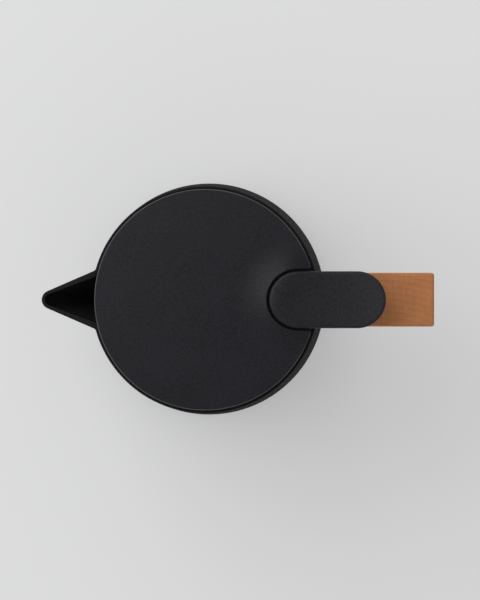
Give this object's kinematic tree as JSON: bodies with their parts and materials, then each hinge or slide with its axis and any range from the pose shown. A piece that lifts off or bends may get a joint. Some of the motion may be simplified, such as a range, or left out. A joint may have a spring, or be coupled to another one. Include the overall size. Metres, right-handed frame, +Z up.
{
  "type": "moka pot",
  "caption": "Stovetop coffee maker: a tapered boiler under a spouted collector, a hinged round lid with a thumb lever, and a wooden side handle.",
  "frame": {"origin": "centre of the base's underside, on the pot's vertical axis", "axes": "+Z up, the spout points to -X, the handle to +X, and the pot is mirror-symmetric about the XZ plane"},
  "size_m": [0.1575, 0.1018, 0.1694],
  "materials": {
    "black_coating": "matte black coating on cast aluminium",
    "lid_coating": "fine-grained matte black coating",
    "wood": "oiled close-grained hardwood",
    "bare_aluminium": "satin",
    "steel": "plain stainless steel",
    "black_steel": "black oxide",
    "brass": "machined",
    "seal": "off-white silicone"
  },
  "bodies": {
    "boiler": {"boiler": "black_coating", "valve_body": "brass", "valve_washer": "seal", "valve_cap": "brass"},
    "valve_plunger": {"valve_plunger": "steel", "valve_spring": "steel"},
    "funnel": {"funnel": "bare_aluminium", "funnel_plate": "steel"},
    "gasket": {"gasket": "seal"},
    "filter_plate": {"filter_plate": "steel"},
    "collector": {"collector": "black_coating", "spout": "black_coating", "riser_column": "bare_aluminium", "handle_bracket": "black_coating", "bracket_screws": "steel", "handle_grip": "wood", "handle_screws": "black_steel", "handle_nuts": "black_steel", "hinge_washers": "seal"},
    "lid": {"lid": "lid_coating", "lid_lever": "lid_coating", "lever_screws": "steel", "hinge_pin": "steel"}
  },
  "joints": [
    {"name": "valve_lift", "type": "slide", "parent": "boiler", "child": "valve_plunger", "axis": [-1, 0, 0], "range_m": [0, 0.0015], "stiffness_N_per_m": 1500, "springref_m": -0.003, "deforming": ["valve_spring"]},
    {"name": "funnel_lift", "type": "slide", "parent": "boiler", "child": "funnel", "axis": [0, 0, 1], "range_m": [0, 0.085]},
    {"name": "lift_off", "type": "slide", "parent": "boiler", "child": "gasket", "axis": [0, 0, 1], "range_m": [0, 0.17]},
    {"name": "thread_rise", "type": "slide", "parent": "gasket", "child": "filter_plate", "axis": [0, 0, 1], "range_m": [0, 0.0061]},
    {"name": "unscrew", "type": "hinge", "parent": "filter_plate", "child": "collector", "pos_m": [0, 0, 0.0878], "axis": [0, 0, 1], "range_deg": [0, 720]},
    {"name": "lid_hinge", "type": "hinge", "parent": "collector", "child": "lid", "pos_m": [0.061, 0, 0.163], "axis": [0, 1, 0], "range_deg": [0, 95]}
  ],
  "couplings": [
    {"joint": "funnel_lift", "follows": "lift_off", "ratio": 0.5},
    {"joint": "thread_rise", "follows": "unscrew", "m_per_rad": 0.00047746}
  ]
}
